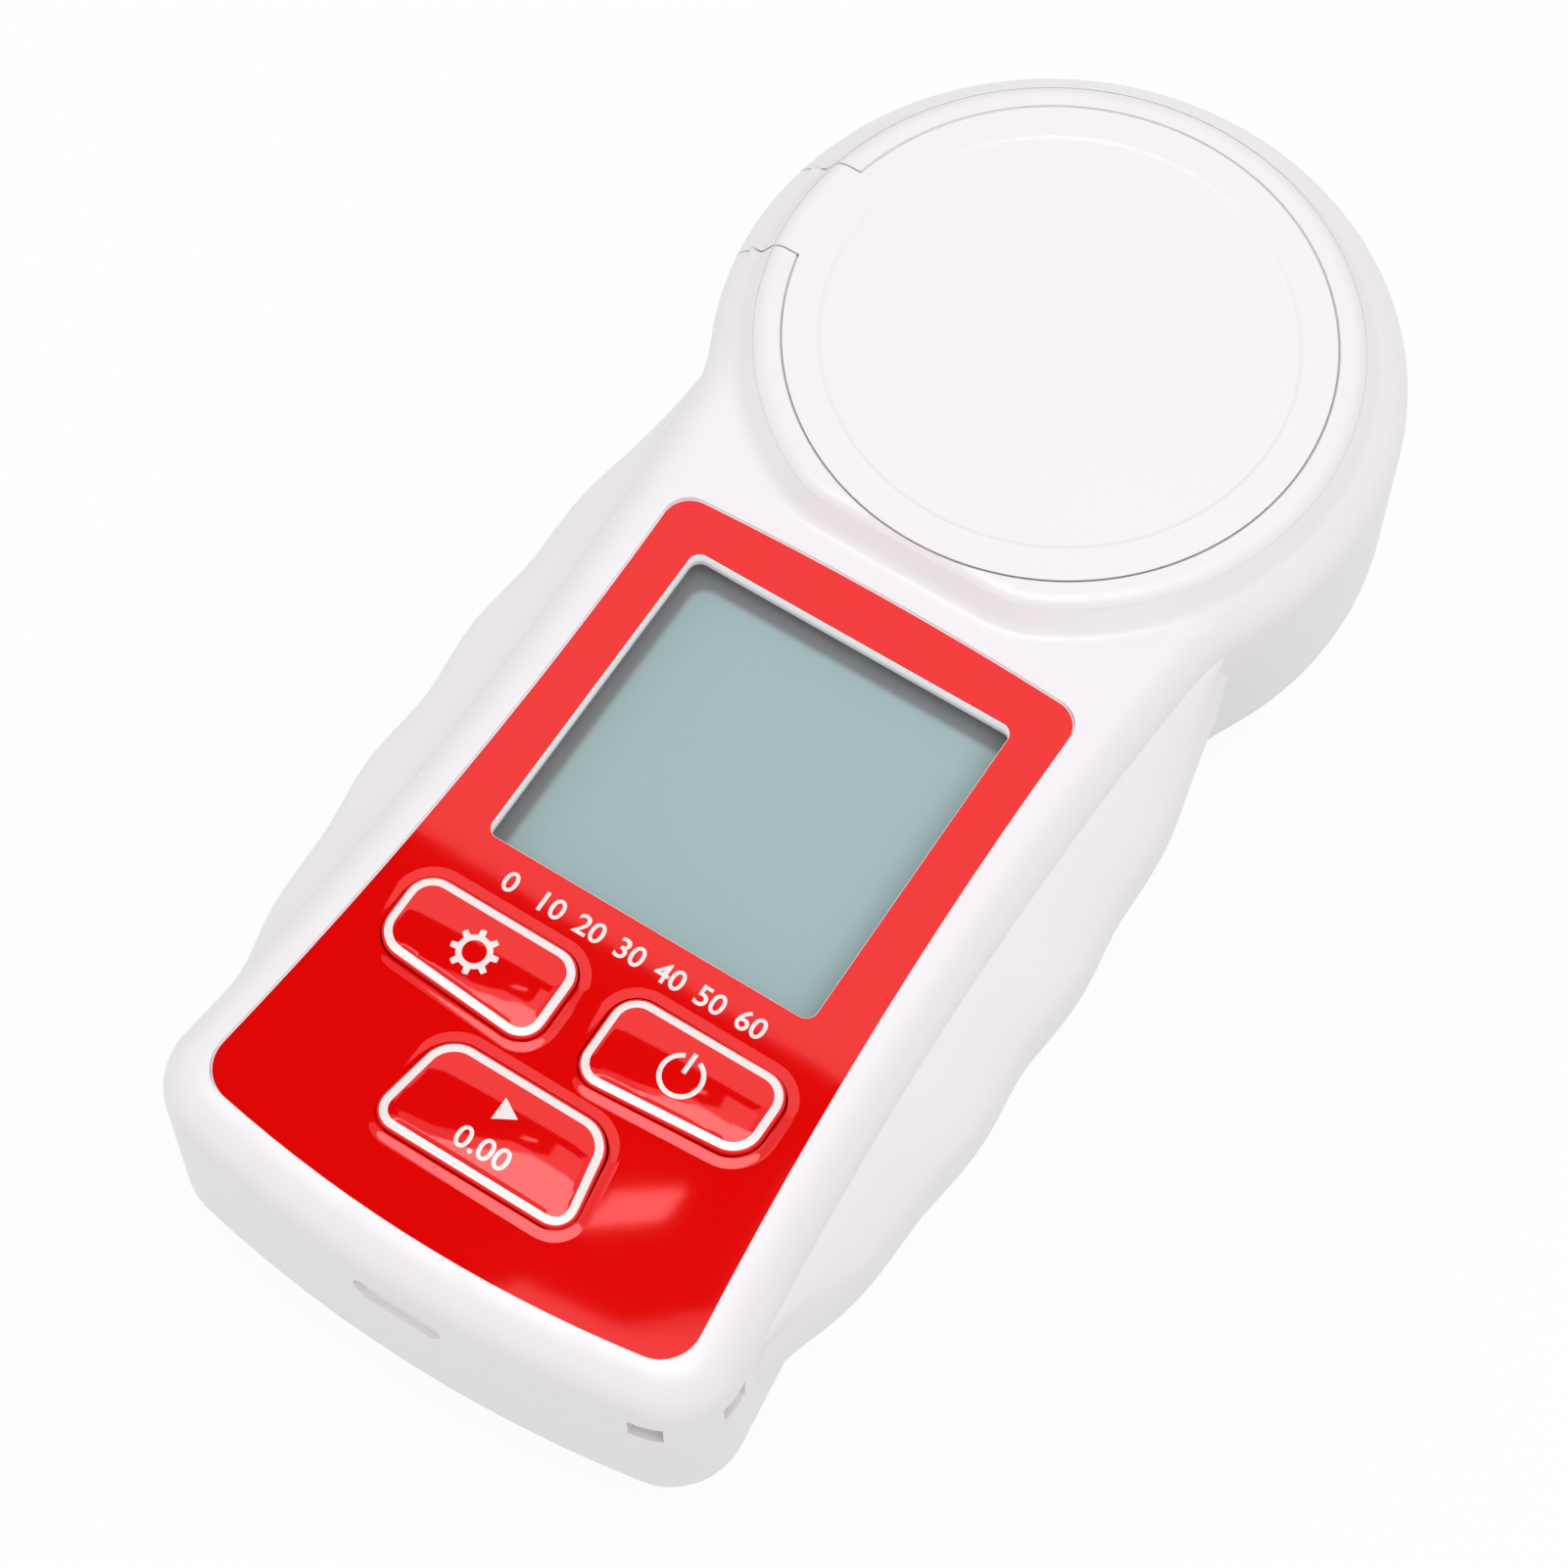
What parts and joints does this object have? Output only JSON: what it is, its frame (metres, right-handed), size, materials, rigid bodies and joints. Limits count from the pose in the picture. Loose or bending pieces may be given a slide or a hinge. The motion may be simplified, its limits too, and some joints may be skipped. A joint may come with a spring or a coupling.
{
  "type": "digital refractometer",
  "caption": "Handheld white digital refractometer: round hinged sample lid, red front panel with square display, three keys and waved side grips.",
  "frame": {"origin": "bottom centre of the bounding box, on the back face that the instrument rests on", "axes": "+Z out of the face with the display and keys, +Y towards the round head, +X to the right as the display is read"},
  "size_m": [0.0572, 0.1221, 0.025],
  "materials": {
    "white_shell": "glossy moulded white plastic",
    "red_film": "glossy printed red film",
    "red_key": "glossy red key caps",
    "clear_pane": "clear window pane",
    "display_glass": "grey-green display glass",
    "prism_glass": "polished optical glass",
    "lens_glass": "polished lens",
    "steel": "brushed stainless steel",
    "screw_steel": "plain steel fasteners",
    "black_plastic": "matt black moulding",
    "inner_plastic": "matt off-white moulding",
    "seal_rubber": "soft dark rubber",
    "board_green": "glass fibre board, green mask",
    "chip_black": "moulded chip body",
    "contact_metal": "nickel plated contacts",
    "cell_jacket": "plain jacketed cell",
    "cable_film": "flat cable film"
  },
  "bodies": {
    "body": {"upper_case": "white_shell", "lower_case": "white_shell", "case_seal": "seal_rubber", "case_screws": "screw_steel", "hinge_pin": "screw_steel", "sample_stage": "steel", "stage_seal": "seal_rubber", "prism": "prism_glass", "prism_seal": "seal_rubber", "optics_housing": "black_plastic", "optics_screws": "screw_steel", "lens": "lens_glass", "light_source": "clear_pane", "lamp_board": "board_green", "sensor_board": "board_green", "image_sensor": "chip_black", "temperature_sensor": "black_plastic", "sensor_cable": "cable_film", "lamp_cable": "cable_film", "cable_sockets": "inner_plastic", "front_film": "red_film", "display_window": "clear_pane", "display_panel": "display_glass", "display_holder": "black_plastic", "display_strips": "seal_rubber", "main_board": "board_green", "board_screws": "screw_steel", "key_switches": "black_plastic", "microcontroller": "chip_black", "board_parts": "chip_black", "buzzer": "black_plastic", "crystal": "contact_metal", "battery_left": "cell_jacket", "battery_right": "cell_jacket", "contact_plates": "contact_metal", "contact_buttons": "contact_metal", "battery_springs": "contact_metal"},
    "lid": {"sample_lid": "white_shell", "lid_seal": "seal_rubber"},
    "door": {"battery_door": "white_shell"},
    "settings_button": {"settings_key": "red_key", "settings_plunger": "inner_plastic"},
    "power_button": {"power_key": "red_key", "power_plunger": "inner_plastic"},
    "test_button": {"test_key": "red_key", "test_plunger": "inner_plastic"}
  },
  "joints": [
    {"name": "lid_hinge", "type": "hinge", "parent": "body", "child": "lid", "pos_m": [-0.0261, 0.0324, 0.0193], "axis": [0, -1, 0], "range_deg": [0, 110]},
    {"name": "battery_door_hinge", "type": "hinge", "parent": "body", "child": "door", "pos_m": [0, -0.00355, 0.0003], "axis": [1, 0, 0], "range_deg": [0, 75]},
    {"name": "settings_press", "type": "slide", "parent": "body", "child": "settings_button", "axis": [0, 0, -1], "range_m": [0, 0.0003], "stiffness_N_per_m": 800, "springref_m": -0.0005},
    {"name": "power_press", "type": "slide", "parent": "body", "child": "power_button", "axis": [0, 0, -1], "range_m": [0, 0.0003], "stiffness_N_per_m": 800, "springref_m": -0.0005},
    {"name": "test_press", "type": "slide", "parent": "body", "child": "test_button", "axis": [0, 0, -1], "range_m": [0, 0.0003], "stiffness_N_per_m": 800, "springref_m": -0.0005}
  ]
}
